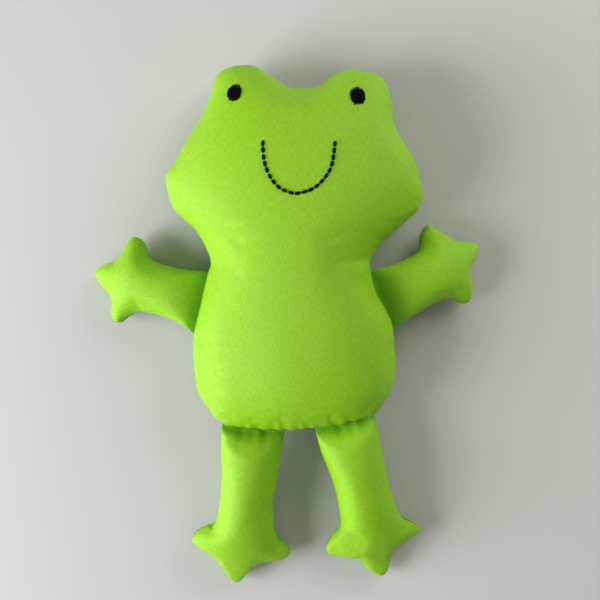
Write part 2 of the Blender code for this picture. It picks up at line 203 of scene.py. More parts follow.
# One flat panel: rows along the seam, then an even net
def flatPanel(outline, rings, netStep):
    bm = bmesh.new()
    face = bm.faces.new([bm.verts.new((p.x, p.y, 0)) for p in outline])
    bm.normal_update()
    for ring in rings:
        bmesh.ops.inset_region(bm, faces=[face], thickness=ring, use_boundary=True, use_even_offset=True)
    inner = [v.co.to_2d() for v in face.verts]
    innerEdges = list(face.edges)
    bmesh.ops.delete(bm, geom=[face], context="FACES_ONLY")
    low = Vector((min(p.x for p in inner), min(p.y for p in inner)))
    high = Vector((max(p.x for p in inner), max(p.y for p in inner)))
    columns, rows = (math.ceil(length / netStep) for length in high - low)
    middle = ((low + high) / 2).to_3d()
    spread = Matrix.Diagonal((columns * netStep / 2, rows * netStep / 2, 1, 1))
    grid = bmesh.ops.create_grid(
        bm, x_segments=columns, y_segments=rows, size=1, matrix=Matrix.Translation(middle) @ spread
    )["verts"]
    depth = seamPlace(numpy.array([v.co.to_2d() for v in grid]), inner)[0]
    bmesh.ops.delete(bm, geom=[v for v, d in zip(grid, depth) if d < netStep * netMargin], context="VERTS")
    grid = [v for v in grid if v.is_valid]
    loose = grid
    while loose:
        valid = [v for v in grid if v.is_valid]
        loose = [v for v in valid if sum(e.is_boundary or e.is_wire for e in v.link_edges) > 2]
        loose += [v for v in valid if len(v.link_faces) == 0 and v not in loose]
        bmesh.ops.delete(bm, geom=loose, context="VERTS")
    kept = {v for v in grid if v.is_valid}
    border = [e for e in bm.edges if e.is_boundary and e.verts[0] in kept]
    bmesh.ops.triangle_fill(bm, use_beauty=True, edges=innerEdges + border, normal=(0, 0, 1))
    bmesh.ops.recalc_face_normals(bm, faces=bm.faces)
    if sum(f.normal.z for f in bm.faces) < 0:
        bmesh.ops.reverse_faces(bm, faces=bm.faces)
    return bm


solvedShare = 1e-14


# Rise of a cloth that is held at its edge and pressed evenly from below, as a share of its top
def pillowRise(bm):
    bm.verts.index_update()
    triangles = numpy.array([[loop.vert.index for loop in loops] for loops in bm.calc_loop_triangles()])
    flat = numpy.array([v.co.to_2d() for v in bm.verts])
    free = numpy.array([not v.is_boundary for v in bm.verts])
    count = len(flat)
    ends, weights, load = [], [], numpy.zeros(count)
    for k in range(3):
        a, b, c = triangles[:, k], triangles[:, (k + 1) % 3], triangles[:, (k + 2) % 3]
        toB, toC = flat[b] - flat[a], flat[c] - flat[a]
        area = numpy.maximum(toB[:, 0] * toC[:, 1] - toB[:, 1] * toC[:, 0], 1e-6)
        ends.append(numpy.column_stack([b, c]))
        weights.append(numpy.maximum((toB * toC).sum(axis=1) / area / 2, 0))
        load += numpy.bincount(a, area / 6, count)
    ends, weights = numpy.vstack(ends), numpy.concatenate(weights)
    diagonal = numpy.bincount(ends[:, 0], weights, count) + numpy.bincount(ends[:, 1], weights, count)

    def pull(height):
        gap = weights * (height[ends[:, 0]] - height[ends[:, 1]])
        force = numpy.bincount(ends[:, 0], gap, count) - numpy.bincount(ends[:, 1], gap, count)
        return numpy.where(free, force, 0)

    # conjugate gradients, scaled by the diagonal, until next to nothing is left
    height = numpy.zeros(count)
    left = numpy.where(free, load, 0)
    scaled = left / diagonal
    heading = scaled.copy()
    product = start = left @ scaled
    while product > start * solvedShare:
        pulled = pull(heading)
        step = product / (heading @ pulled)
        height += step * heading
        left -= step * pulled
        scaled = left / diagonal
        fresh = left @ scaled
        heading = scaled + heading * (fresh / product)
        product = fresh
    return numpy.sqrt(numpy.maximum(height, 0) / height.max())


def filledOut(rise, depth, fullness):
    full = rise / (1 + (rise / fullness) ** 3) ** (1 / 3)
    return full * depth / full.max()


def outwardNormals(outline):
    count = len(outline)
    along = [outline[(i + 1) % count] - outline[i - 1] for i in range(count)]
    return [Vector((d.y, -d.x)).normalized() for d in along]


# A closed pillow of a front and a back panel with a groove where they are sewn
def sewPillow(name, outline, settings, heights, place):
    bm = flatPanel(outline, settings["rings"], settings["netStep"])
    front, back = heights(bm)
    copied = bmesh.ops.duplicate(bm, geom=bm.verts[:] + bm.edges[:] + bm.faces[:])
    backVerts = [g for g in copied["geom"] if isinstance(g, bmesh.types.BMVert)]
    backFaces = [g for g in copied["geom"] if isinstance(g, bmesh.types.BMFace)]
    bmesh.ops.reverse_faces(bm, faces=backFaces)
    behind = set(backVerts)
    frontVerts = [v for v in bm.verts if v not in behind]
    rims = [e for e in bm.edges if e.is_boundary]
    sides = {}
    for verts, side, rises in ((frontVerts, 1, front), (backVerts, -1, back)):
        for v, rise in zip(verts, rises):
            v.co.z = side * (seam["lip"] + rise)
            sides[v] = side
    bridge = bmesh.ops.bridge_loops(bm, edges=rims)
    crossing = [e for e in bridge["edges"] if sides[e.verts[0]] != sides[e.verts[1]]]
    split = bmesh.ops.subdivide_edges(bm, edges=crossing, cuts=1)
    floor = [g for g in split["geom_inner"] if isinstance(g, bmesh.types.BMVert)]
    inward = {(round(p.x, 3), round(p.y, 3)): -n for p, n in zip(outline, outwardNormals(outline))}
    for v in floor:
        v.co += (inward[(round(v.co.x, 3), round(v.co.y, 3))] * seam["groove"]).to_3d()
    held = set(floor) | {v for e in rims for v in e.verts}
    for e in rims:
        e.seam = True
    bm.verts.index_update()
    heldIndices = [v.index for v in held]
    # the cloth's own flat lie, for laying out its weave
    lie = bm.verts.layers.float_vector.new("flatLie")
    for v in bm.verts:
        v[lie] = (v.co.x, v.co.y, 0)
    bm.transform(place @ Matrix.Scale(0.001, 4))
    mesh = bpy.data.meshes.new(name)
    bm.to_mesh(mesh)
    bm.free()
    obj = addObject(name, mesh)
    group = obj.vertex_groups.new(name="held")
    group.add(heldIndices, 1.0, "REPLACE")
    print("sewed", name, len(mesh.vertices), "points")
    return obj


def points(mesh):
    flat = numpy.empty(len(mesh.vertices) * 3, dtype=numpy.float32)
    mesh.vertices.foreach_get("co", flat)
    return flat.reshape(-1, 3)


clothSheet = {
    "quality": 6,
    "mass": 0.1,
    "stretch": 15,
    "shear": 5,
    "bend": 0.5,
    "seamCap": 0.0001,  # metres that it may move at the seam
    "capSlope": 0.3,  # and how much more for each metre away from it
}


# Cloth that is a little larger than its form, pressed out by the filling: it puckers at the seam
def settleCloth(obj, settings):
    start = points(obj.data)
    cloth = obj.modifiers.new("settle", "CLOTH")
    cloth.settings.quality = clothSheet["quality"]
    cloth.settings.mass = clothSheet["mass"]
    cloth.settings.tension_stiffness = clothSheet["stretch"]
    cloth.settings.compression_stiffness = clothSheet["stretch"]
    cloth.settings.shear_stiffness = clothSheet["shear"]
    cloth.settings.bending_stiffness = clothSheet["bend"]
    cloth.settings.use_pressure = True
    cloth.settings.uniform_pressure_force = settings["pressure"]
    cloth.settings.shrink_min = -settings["growth"]
    cloth.settings.shrink_max = -settings["growth"]
    cloth.settings.vertex_group_mass = "held"
    cloth.settings.effector_weights.gravity = 0
    cloth.collision_settings.use_collision = False
    cloth.point_cache.frame_end = settings["frames"]
    scene = bpy.context.scene
    for step in range(1, settings["frames"] + 1):
        scene.frame_set(step)
    graph = bpy.context.evaluated_depsgraph_get()
    evaluated = obj.evaluated_get(graph)
    moved = points(evaluated.data) - start
    reach = numpy.linalg.norm(moved, axis=1)
    # next to the seam the cloth moves least
    held = start[[v.index for v in obj.data.vertices if v.groups]]
    fromSeam = numpy.full(len(start), numpy.inf)
    for spot in held:
        fromSeam = numpy.minimum(fromSeam, numpy.linalg.norm(start - spot, axis=1))
    cap = numpy.minimum(settings["cap"] / 1000, clothSheet["seamCap"] + fromSeam * clothSheet["capSlope"])
    moved *= (cap * numpy.tanh(reach / cap) / numpy.maximum(reach, 1e-9))[:, None]
    final = start + moved
    final[:, 2] = numpy.maximum(final[:, 2], 0.0)
    obj.modifiers.remove(cloth)
    obj.data.vertices.foreach_set("co", final.ravel())
    obj.data.update()
    scene.frame_set(1)
    furthest, mean = (round(float(value) * 1000, 2) for value in (reach.max(), reach.mean()))
    print("settled", obj.name, "moved up to", furthest, "mm, mean", mean)


creaseFade = 0.6  # a crease grows shallower towards its second end


# Creases in the front, pressed in once the cloth has settled
def pressCreases(obj, place, creases):
    turn = numpy.array(place)
    local = (points(obj.data) - turn[:3, 3]) @ turn[:3, :3] * 1000
    flats = local[:, :2]
    ease = numpy.clip(local[:, 2] / seam["easeHeight"], 0, 1)
    for start, stop, depth, halfWidth in creases:
        a, b = numpy.array(start), numpy.array(stop)
        share = numpy.clip((flats - a) @ (b - a) / ((b - a) @ (b - a)), 0, 1)
        off = numpy.linalg.norm(flats - a - share[:, None] * (b - a), axis=1)
        fade = (1 - share) ** creaseFade
        local[:, 2] -= ease * depth * fade * numpy.exp(-(off / halfWidth) ** 2)
    final = local / 1000 @ turn[:3, :3].T + turn[:3, 3]
    obj.data.vertices.foreach_set("co", final.astype(numpy.float32).ravel())
    obj.data.update()


# Unrolls both panels, then turns and sizes them so that the weave's map is in millimetres; also stores the
# painted shade at a limb's root
def layWeave(obj, paintedShadeReach):
    mesh = obj.data
    mesh.uv_layers.new(name="weave")
    bpy.context.view_layer.objects.active = obj
    bpy.ops.object.select_all(action="DESELECT")
    obj.select_set(True)
    bpy.ops.object.mode_set(mode="EDIT")
    bpy.ops.mesh.select_all(action="SELECT")
    bpy.ops.uv.unwrap(method="ANGLE_BASED", margin=0)
    bpy.ops.object.mode_set(mode="OBJECT")
    bm = bmesh.new()
    bm.from_mesh(mesh)
    weave = bm.loops.layers.uv["weave"]
    lie = bm.verts.layers.float_vector["flatLie"]
    waiting = set(bm.faces)
    for first in bm.faces:
        if first not in waiting:
            continue
        waiting.remove(first)
        panel = [first]
        for face in panel:
            for edge in face.edges:
                if not edge.seam:
                    beside = [f for f in edge.link_faces if f in waiting]
                    waiting.difference_update(beside)
                    panel.extend(beside)
        loops = [loop for face in panel for loop in face.loops]
        laid = numpy.array([complex(*loop[weave].uv) for loop in loops])
        flat = numpy.array([complex(loop.vert[lie][0], loop.vert[lie][1]) for loop in loops])
        ahead = numpy.array([complex(*loop.link_loop_next[weave].uv) for loop in loops])
        real = sum(loop.edge.calc_length() for loop in loops) * 1000
        size = real / max(numpy.abs(ahead - laid).sum(), 1e-9)
        if sum(face.normal.z for face in panel) < 0:
            flat = -flat.conj()
        spread = laid - laid.mean()
        turn = (spread.conj() * (flat - flat.mean())).sum()
        laid = spread * size * turn / max(abs(turn), 1e-9)
        for loop, spot in zip(loops, laid):
            loop[weave].uv = (spot.real, spot.imag)
    # painted shade: a share that darkens the colour towards a limb's root, fading out over the given reach
    depth = bm.verts.layers.float.new("drawnIn")
    for v in bm.verts:
        v[depth] = max(1 - max(v[lie][1], 0) / paintedShadeReach, 0) ** 2 if paintedShadeReach else 0
    bm.to_mesh(mesh)
    bm.free()
    mesh.attributes.remove(mesh.attributes["flatLie"])


def finishCloth(obj, material, paintedShadeReach):
    layWeave(obj, paintedShadeReach)
    obj.data.materials.append(material)
    obj.data.shade_smooth()
    fine = obj.modifiers.new("fine", "SUBSURF")
    fine.levels = fine.render_levels = 1


bodyPillow = {
    "width": 149.3,
    "height": 212.3,
    "restUp": 0.230,  # the middle of the torso, up from the hem
    "seamHeight": 22.0,
    "front": 32.5,
    "back": 22.5,
    "frontFullness": 1.3,
    "backFullness": 0.45,
    "edgeStep": 1.7,
    "netStep": 1.9,
    "rings": [0.08, 0.25, 0.45, 0.65, 0.85, 1.1, 1.4],
    "growth": 0.008,
    "pressure": 4.0,
    "frames": 20,
    "cap": 2.5,
    # stretches of the seam that pull the cloth in: from, to, then how often and how much
    "gathers": [
        {"from": (-0.300, 0.030), "to": (0.330, 0.055),
         "every": 8.2, "notch": 0.85, "dent": 0.16, "reach": 7.0},
        {"from": (0.350, 0.079), "to": (0.386, 0.300),
         "every": 5.2, "notch": 0.6, "dent": 0.10, "reach": 4.0},
        {"from": (0.310, 0.395), "to": (0.484, 0.600),
         "every": 7.5, "notch": 0.30, "dent": 0.7, "reach": 8.0},
        {"from": (0.484, 0.600), "to": (0.483, 0.706),
         "every": 6.5, "notch": 1.10, "dent": 0.55, "reach": 6.0},
        {"from": (0.483, 0.706), "to": (-0.330, 0.456),
         "every": 9.0, "notch": 0.10, "dent": 0.10, "reach": 6.0},
        {"from": (-0.388, 0.265), "to": (-0.369, 0.102),
         "every": 6.5, "notch": 0.30, "dent": 0.18, "reach": 4.0},
    ],
    # soft creases in the front: two ends, depth and half width in millimetres
    "creases": [
        ((-53.0, 49.0), (-26.0, 49.0), 1.9, 11.0),
        ((46.0, 49.0), (18.0, 47.0), 1.6, 10.0),
        ((43.5, 49.6), (19.0, 45.6), 1.6, 1.9),
        ((45.0, 44.5), (22.0, 40.5), -0.9, 3.6),
        ((-50.0, 53.5), (-24.0, 48.0), -0.3, 2.6),
        ((-50.0, 47.5), (-28.0, 44.0), 0.35, 2.2),
        ((-48.0, 41.0), (-26.0, 37.0), 0.3, 2.4),
        ((68.0, 85.0), (44.0, 78.0), 0.7, 3.5),
    ],
    "unevenness": {"size": 30.0, "height": 0.7},
    "seed": 3,
    "lumpSeeds": (1.7, 5.1),  # the front's and the back's
    "outline": [
        (0.000, -0.004), (0.084, 0.003), (0.188, 0.012), (0.249, 0.025), (0.312, 0.039),
        (0.354, 0.077), (0.375, 0.101), (0.394, 0.145), (0.397, 0.189), (0.390, 0.235),
        (0.386, 0.282), (0.353, 0.330), (0.320, 0.369), (0.299, 0.431), (0.299, 0.465),
        (0.335, 0.505), (0.415, 0.556), (0.484, 0.600), (0.503, 0.644), (0.494, 0.680),
        (0.483, 0.706), (0.462, 0.746), (0.411, 0.802), (0.386, 0.844), (0.379, 0.893),
        (0.361, 0.939), (0.333, 0.966), (0.271, 0.981), (0.195, 0.983), (0.129, 0.959),
        (0.086, 0.937), (0.014, 0.935), (-0.030, 0.939), (-0.099, 0.973), (-0.162, 0.996),
        (-0.213, 0.996), (-0.260, 0.990), (-0.307, 0.966), (-0.327, 0.919), (-0.362, 0.858),
        (-0.425, 0.789), (-0.471, 0.726), (-0.500, 0.695), (-0.493, 0.644), (-0.464, 0.597),
        (-0.384, 0.543), (-0.341, 0.491), (-0.326, 0.456), (-0.340, 0.420), (-0.365, 0.346),
        (-0.391, 0.265), (-0.397, 0.216), (-0.389, 0.146), (-0.376, 0.102), (-0.336, 0.057),
        (-0.291, 0.019), (-0.204, 0.002),
    ],
}


def bodyPoint(share):
    across, up = share
    return Vector((across * bodyPillow["width"], (up - bodyPillow["restUp"]) * bodyPillow["height"]))


def makeBody(material):
    settings = bodyPillow
    curve = smoothCurve([bodyPoint(share) for share in settings["outline"]], True)
    outline = evenPoints(curve, round(curveLength(curve) / settings["edgeStep"]))[:-1]
    stretches = [{**g, "ends": (bodyPoint(g["from"]), bodyPoint(g["to"]))} for g in settings["gathers"]]
    pulls = seamPulls(outline, stretches, settings["seed"])
    notched = notchedOutline(outline, pulls)

    def heights(bm):
        rise = pillowRise(bm)
        frontSeed, backSeed = settings["lumpSeeds"]
        flats = numpy.array([v.co.to_2d() for v in bm.verts])
        depth, arc = seamPlace(flats, outline)
        depth = numpy.maximum(depth, 0)
        whole = curveLength(outline + outline[:1])
        front = filledOut(rise, settings["front"], settings["frontFullness"])
        front = handling(flats, front, depth, arc, whole, settings, pulls, frontSeed)
        back = filledOut(rise, settings["back"], settings["backFullness"]) - seam["lip"]
        back = handling(flats, back, depth, arc, whole, settings, pulls, backSeed)
        return front, numpy.clip(back, 0, settings["seamHeight"] - seam["lip"])

    place = Matrix.Translation((0, 0, settings["seamHeight"] / 1000))
    obj = sewPillow("bodyCloth", notched, settings, heights, place)
    settleCloth(obj, settings)
    pressCreases(obj, place, settings["creases"])
    finishCloth(obj, material, 0)
    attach(obj, "body")
    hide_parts("body_front_panel", "body_back_panel", "body_filling")
    return obj, outline


limbCloth = {
    "front": 12.5,
    "back": 11.5,
    "fullness": 3.0,
    "rootSlope": 0.80,  # half thickness gained for each millimetre out from the hinge
    "rootStart": 1.0,  # how far behind the hinge that starts
    "rootTuck": 2.4,  # how far the root reaches into the body's seam
    "cornerReach": 2,  # points to each side of a root corner that are rounded
    "cornerRounds": 14,
    "edgeStep": 1.3,
    "netStep": 1.7,
    "rings": [0.08, 0.3, 0.5, 0.8],
    "growth": 0.008,
    "pressure": 4.0,
    "frames": 16,
    "cap": 1.5,
    "sideGathers": {"every": 7.0, "notch": 0.12, "dent": 0.35, "reach": 4.0},
    # folds where the root is drawn into the body's seam: place across, strength and half width
    "pleats": [(-8.5, 0.14, 2.6), (-1.0, 0.22, 2.0), (7.0, 0.12, 2.4)],
    "pleatReach": 5.0,
    "pleatSpread": 0.12,  # how much wider a fold grows for each millimetre out
    "pleatLimit": 0.85,
    "paintedShadeReach": 13.0,  # how far out from the root the painted shade reaches
    "endFlat": 0.15,  # how much flatter the front of the hand or foot lies
    "endRamp": (2.5, -1.25),  # slope and start of that, along the limb in shares of its length
    "lean": (0.0, 0.0),  # how much fuller the front grows for each millimetre across and out
    "creases": [],
    "gathers": [],
    "unevenness": {"size": 20.0, "height": 0.5},
    "lumpSeeds": (0.3, 7.9),  # the front's and the back's, on top of the limb's own seed
    "blend": (-1.0, 10.0),  # places along the limb from the hinge, meant for where the cloth turns with the limb; worked out into points but not used
}

arm = {"width": 52.0, "length": 68.5}
leg = {"width": 57.0, "length": 96.0, "front": 13.5, "rootSlope": 1.25, "paintedShadeReach": 7.0, "endFlat": 0.38}
limbs = {
    "arm_left": {
        **arm,
        "joint": "shoulder_left",
        "seed": 11,
        "droop": 14.25,
        "lean": (0.002, 0.004),
        "root": [(0.296, 0.429), (0.384, 0.269)],
        "outline": [
            (-0.329, 0.187), (-0.327, 0.303), (-0.362, 0.466), (-0.516, 0.546), (-0.592, 0.630),
            (-0.521, 0.687), (-0.322, 0.795), (-0.249, 0.894), (-0.181, 0.978), (-0.111, 0.979),
            (-0.016, 0.901), (0.086, 0.817), (0.279, 0.782), (0.410, 0.694), (0.313, 0.598),
            (0.277, 0.548), (0.268, 0.400), (0.303, 0.158),
        ],
    },
    "arm_right": {
        **arm,
        "joint": "shoulder_right",
        "seed": 18,
        "droop": 13.66,
        "lean": (0.0, 0.003),
        "paintedShadeReach": 8.0,
        "creases": [
            ((-14.5, 32.0), (-6.0, 36.5), 1.3, 1.7),
            ((4.5, 25.8), (-2.0, 23.4), 0.4, 1.1),
        ],
        "root": [(-0.330, 0.431), (-0.388, 0.257)],
        "outline": [
            (0.307, 0.145), (0.302, 0.321), (0.340, 0.521), (0.500, 0.608), (0.543, 0.700),
            (0.475, 0.756), (0.265, 0.802), (0.134, 0.948), (0.025, 0.995), (-0.093, 0.905),
            (-0.209, 0.782), (-0.384, 0.761), (-0.463, 0.691), (-0.371, 0.616), (-0.283, 0.514),
            (-0.269, 0.357), (-0.305, 0.136),
        ],
    },
    "leg_left": {
        **leg,
        "joint": "hip_left",
        "seed": 25,
        "droop": 8.98,
        "lean": (0.015, 0.001),
        "pleats": [(5.0, 0.80, 2.4), (-2.8, 0.45, 1.4), (-11.0, 0.75, 2.2)],
        "pleatReach": 2.4,
        "creases": [
            ((-8.0, 13.0), (10.0, 19.0), 0.5, 2.2),
            ((17.5, 57.0), (9.0, 56.0), 0.9, 2.0),
        ],
        "gathers": [
            {"from": (17.5, 50.0), "to": (25.0, 66.0),
             "every": 3.4, "notch": 0.5, "dent": 0.6, "reach": 4.0},
        ],
        "root": [(0.317, 0.042), (0.081, 0.000)],
        "outline": [
            (-0.297, 0.200), (-0.296, 0.460), (-0.337, 0.640), (-0.429, 0.695), (-0.499, 0.739),
            (-0.496, 0.765), (-0.357, 0.809), (-0.259, 0.830), (-0.178, 0.865), (-0.110, 0.938),
            (-0.048, 0.989), (0.022, 0.994), (0.110, 0.939), (0.196, 0.853), (0.325, 0.817),
            (0.464, 0.786), (0.492, 0.739), (0.416, 0.672), (0.300, 0.603), (0.269, 0.374),
            (0.327, 0.101),
        ],
    },
    "leg_right": {
        **leg,
        "joint": "hip_right",
        "seed": 32,
        "droop": 8.94,
        "lean": (0.014, 0.002),
        "pleats": [(7.0, 0.75, 1.9), (0.2, 0.50, 1.5), (-7.4, 0.70, 1.5), (-12.6, 0.25, 1.2)],
        "pleatReach": 2.2,
        "creases": [
            ((18.0, 4.5), (2.0, 8.5), 0.35, 1.4),
            ((18.0, 7.8), (0.0, 12.0), -0.5, 1.8),
            ((17.0, 14.0), (0.0, 18.5), 0.7, 1.6),
            ((17.0, 22.0), (2.0, 25.0), 0.65, 1.8),
            ((-16.0, 44.0), (2.0, 50.0), 0.7, 1.6),
            ((-16.0, 50.0), (4.0, 55.0), 0.8, 1.7),
            ((17.0, 52.0), (6.0, 58.0), 0.6, 1.8),
        ],
        "root": [(-0.285, 0.022), (-0.036, -0.002)],
        "outline": [
            (0.317, 0.111), (0.276, 0.376), (0.304, 0.601), (0.393, 0.639), (0.495, 0.685),
            (0.528, 0.735), (0.477, 0.770), (0.343, 0.812), (0.249, 0.852), (0.158, 0.915),
            (0.083, 0.970), (0.032, 0.984), (-0.021, 0.962), (-0.089, 0.910), (-0.199, 0.847),
            (-0.392, 0.811), (-0.486, 0.772), (-0.494, 0.740), (-0.441, 0.704), (-0.346, 0.656),
            (-0.279, 0.474), (-0.301, 0.199),
        ],
    },
}


# A limb's seam on its hinge: round the limb, then back along the body's seam that holds its root
def limbOutline(settings, hinge, along, outward, bodyOutline):
    normals = outwardNormals(bodyOutline)
    count = len(bodyOutline)
    first, last = (nearestIndex(bodyOutline, bodyPoint(share)) for share in settings["root"])
    forward = (last - first) % count
    turn = 1 if forward < count / 2 else -1
    picks = [(first + turn * k) % count for k in range(min(forward, count - forward) + 1)]
    root = [bodyOutline[i] - normals[i] * settings["rootTuck"] for i in picks]
    near = [Vector(((p - hinge).dot(along), (p - hinge).dot(outward))) for p in root]
    far = [Vector((a * settings["width"], b * settings["length"])) for a, b in settings["outline"]]
    curve = smoothCurve([near[0]] + far + [near[-1]], False)
    edge = evenPoints(curve, round(curveLength(curve) / settings["edgeStep"]))
    rootEdge = evenPoints(near[::-1], round(curveLength(near) / settings["edgeStep"]))
    outline = edge[:-1] + rootEdge[:-1]
    # the root's corners are turned in round
    around = range(-settings["cornerReach"], settings["cornerReach"] + 1)
    corners = [(corner + k) % len(outline) for corner in (0, len(edge) - 1) for k in around]
    for i in corners * settings["cornerRounds"]:
        outline[i] = (outline[i - 1] + 2 * outline[i] + outline[(i + 1) % len(outline)]) / 4
    if sum(a.cross(b) for a, b in zip(outline, outline[1:] + outline[:1])) < 0:
        outline.reverse()
    return outline, sorted((near[0], near[-1]), key=lambda p: -p.x)


def makeLimb(name, bodyOutline, material):
    settings = {**limbCloth, **limbs[name]}
    joint = joints[settings["joint"]]
    along = Vector(joint["axis"]).to_2d().normalized()
    outward = Vector((-along.y, along.x))
    hinge = Vector(joint["pos_m"]).to_2d() * 1000
    droop = math.radians(settings["droop"])
    outline, rootEnds = limbOutline(settings, hinge, along, outward, bodyOutline)
    stretches = [{**settings["sideGathers"], "ends": rootEnds}]
    stretches += [{**g, "ends": (Vector(g["from"]), Vector(g["to"]))} for g in settings["gathers"]]
    pulls = seamPulls(outline, stretches, settings["seed"])
    notched = notchedOutline(outline, pulls)

    def heights(bm):
        rise = pillowRise(bm)
        flats = numpy.array([v.co.to_2d() for v in bm.verts])
        seamDepth, arc = seamPlace(flats, outline)
        seamDepth = numpy.maximum(seamDepth, 0)
        whole = curveLength(outline + outline[:1])
        across, out = flats[:, 0], flats[:, 1]
        ramp = numpy.maximum(out + settings["rootStart"], 0) * settings["rootSlope"]
        endSlope, endStart = settings["endRamp"]
        end = numpy.clip(out / settings["length"] * endSlope + endStart, 0, 1)
        flatter = 1 - settings["endFlat"] * end * end * (3 - 2 * end)
        fuller = 1 + settings["lean"][0] * across + settings["lean"][1] * out
        beyond = numpy.maximum(out, 0)
        folds = sum(
            strength * numpy.exp(-((across - x) / (width + settings["pleatSpread"] * beyond)) ** 2)
            for x, strength, width in settings["pleats"]
        ) * numpy.exp(-beyond / settings["pleatReach"])
        folds = numpy.minimum(folds, settings["pleatLimit"])
        sides = []
        for side, shape, seed in zip(("front", "back"), (flatter * fuller, 1), settings["lumpSeeds"]):
            full = filledOut(rise, settings[side], settings["fullness"]) * shape
            # the lesser of the filling and the ramp, rounded where they meet
            height = full * ramp / numpy.maximum((full ** 3 + ramp ** 3) ** (1 / 3), 1e-9)
            height = height * (1 - folds)
            seed += settings["seed"]
            sides.append(handling(flats, height, seamDepth, arc, whole, settings, pulls, seed))
        toFloor = (bodyPillow["seamHeight"] - out * math.sin(droop)) / math.cos(droop)
        return sides[0], numpy.minimum(sides[1], toFloor - seam["lip"])

    place = Matrix.Translation((hinge.x / 1000, hinge.y / 1000, bodyPillow["seamHeight"] / 1000))
    place @= Matrix.Rotation(math.atan2(along.y, along.x), 4, "Z")
    place @= Matrix.Rotation(-droop, 4, "X")
    pieceName = name.replace("_l", "L").replace("_r", "R") + "Cloth"
    obj = sewPillow(pieceName, notched, settings, heights, place)
    settleCloth(obj, settings)
    pressCreases(obj, place, settings["creases"])
    finishCloth(obj, material, settings["paintedShadeReach"])
    start, end = (place @ Vector((0, out / 1000, 0)) for out in settings["blend"])
    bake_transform(obj)
    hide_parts(name + "_front_panel", name + "_back_panel", name + "_filling")


# A socket that takes part in sums
class Socket:
    def __init__(self, shader, link):
        self.shader = shader
        self.link = link

    def output(self, name):
        return Socket(self.shader, self.link.node.outputs[name])

    def math(self, operation, *others):
        inputs = dict(enumerate((self, *others)))
        return self.shader.add("ShaderNodeMath", {"operation": operation}, inputs)

    def __add__(self, other):
        return self.math("ADD", other)

    def __sub__(self, other):
        return self.math("SUBTRACT", other)

    def __mul__(self, other):
        return self.math("MULTIPLY", other)

    def __rsub__(self, other):
        return self.shader.add("ShaderNodeMath", {"operation": "SUBTRACT"}, {0: other, 1: self})

    __radd__ = __add__
    __rmul__ = __mul__


class Shader:
    def __init__(self, name):
        self.material = bpy.data.materials.new(name)
        self.material.use_nodes = True
        self.nodes = self.material.node_tree.nodes
        self.links = self.material.node_tree.links
        self.surface = self.nodes["Principled BSDF"]

    def add(self, kind, settings=None, inputs=None, output=0):
        node = self.nodes.new(kind)
        for key, value in (settings or {}).items():
            if key == "stops":
                stops = node.color_ramp.elements
                for place, colour in value[len(stops):]:
                    stops.new(place)
                for stop, (place, colour) in zip(stops, value):
                    stop.position, stop.color = place, colour
            else:
                setattr(node, key, value)
        self.feed(node, inputs or {})
        if output == "Result":
            return Socket(self, self.typed(node, node.outputs, output))
        return Socket(self, node.outputs[output])

    # of a Mix node's sockets of one name, the one for its kind of data
    def typed(self, node, sockets, name):
        return [s for s in sockets if s.name == name and s.type == node.data_type][0]

    def feed(self, node, inputs):
        for key, value in inputs.items():
            if node.bl_idname == "ShaderNodeMix" and key in "AB":
                socket = self.typed(node, node.inputs, key)
            elif node.bl_idname == "ShaderNodeMix":
                socket = node.inputs[0]
            else:
                socket = node.inputs[key]
            if isinstance(value, Socket):
                self.links.new(value.link, socket)
            else:
                socket.default_value = value

    def mix(self, factor, a, b):
        inputs = {"Factor": factor, "A": a, "B": b}
        return self.add("ShaderNodeMix", {"data_type": "RGBA"}, inputs, "Result")

    def noise(self, place, scale, detail):
        return self.add("ShaderNodeTexNoise", inputs={"Vector": place, "Scale": scale, "Detail": detail})

    def bump(self, height, distance, strength):
        inputs = {"Height": height, "Distance": distance, "Strength": strength}
        return self.add("ShaderNodeBump", inputs=inputs)

    def set(self, **inputs):
        self.feed(self.surface, {key.replace("_", " "): value for key, value in inputs.items()})


cottonLook = {
    "deep": (0.184, 0.460, 0.000, 1),
    "pale": (0.304, 0.645, 0.002, 1),
    "drawnIn": (0.055, 0.300, 0.001, 1),  # painted shade: a darker green next to the body's seam, at a limb's root
    "paintedRootShadeShare": 0.65,
    "warpPitch": 0.40,  # millimetres from thread to thread
    "weftPitch": 0.44,
    "crossing": 2.5,  # how sharply a thread goes over or under
    "slubStretches": ((2.7, 0.30, 1), (0.30, 2.4, 1)),  # the warp's, then the weft's
    "warpSlubs": (1.1, 1.7),  # how strong they are below, and what they gain on top
    "weftSlubs": (1.7, 1.2),  # how strong they are on top, and what they lose below
    "mottleScale": 0.35,
    # shares of the mottle and of the threads' crowns in the tone; the crowns' share is painted shade,
    # darker in the gaps between threads
    "mottle": 0.22,
    "crowns": 0.30,
    "ground": 0.28,
    "threadHeight": 0.00010,
    "crownRelief": 0.9,
    "slubRelief": 0.5,
    "roughness": 0.42,
    "specular": 0.42,
    "sheen": 0.1,
    "sheenRoughness": 0.4,
    "sheenTint": (0.75, 1.0, 0.2, 1),
}


